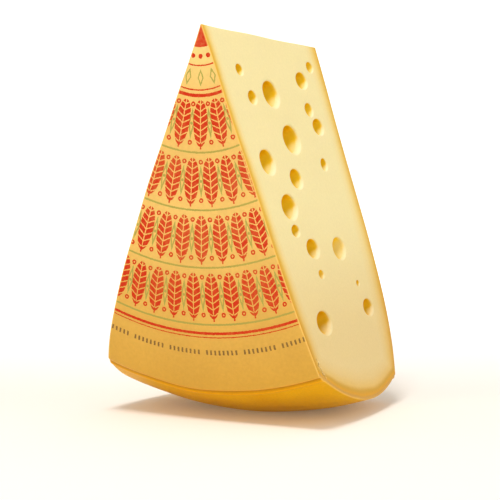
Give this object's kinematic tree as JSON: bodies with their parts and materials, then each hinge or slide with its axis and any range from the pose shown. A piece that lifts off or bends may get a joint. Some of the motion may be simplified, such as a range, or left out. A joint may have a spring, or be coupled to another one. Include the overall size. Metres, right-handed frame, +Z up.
{
  "type": "cheese wedge",
  "caption": "Tall wedge cut from a large wheel of hard cheese, standing on its rounded rind, with round eyes in both cut faces.",
  "frame": {"origin": "on the small flat spot under the heel, on which the wedge stands, straight below the front end of the tip edge and the wheel's middle plane", "axes": "+Z up from the heel to the tip edge, -Y out of the printed wheel face, +Y out of the wheel's other face, +X and -X towards the two cut faces; the wheel's axis runs along Y"},
  "size_m": [0.2668, 0.264, 0.397],
  "materials": {
    "cheese_paste": "smooth, slightly waxy cut cheese"
  },
  "bodies": {
    "root": {"cheese_wedge": "cheese_paste"}
  },
  "joints": []
}
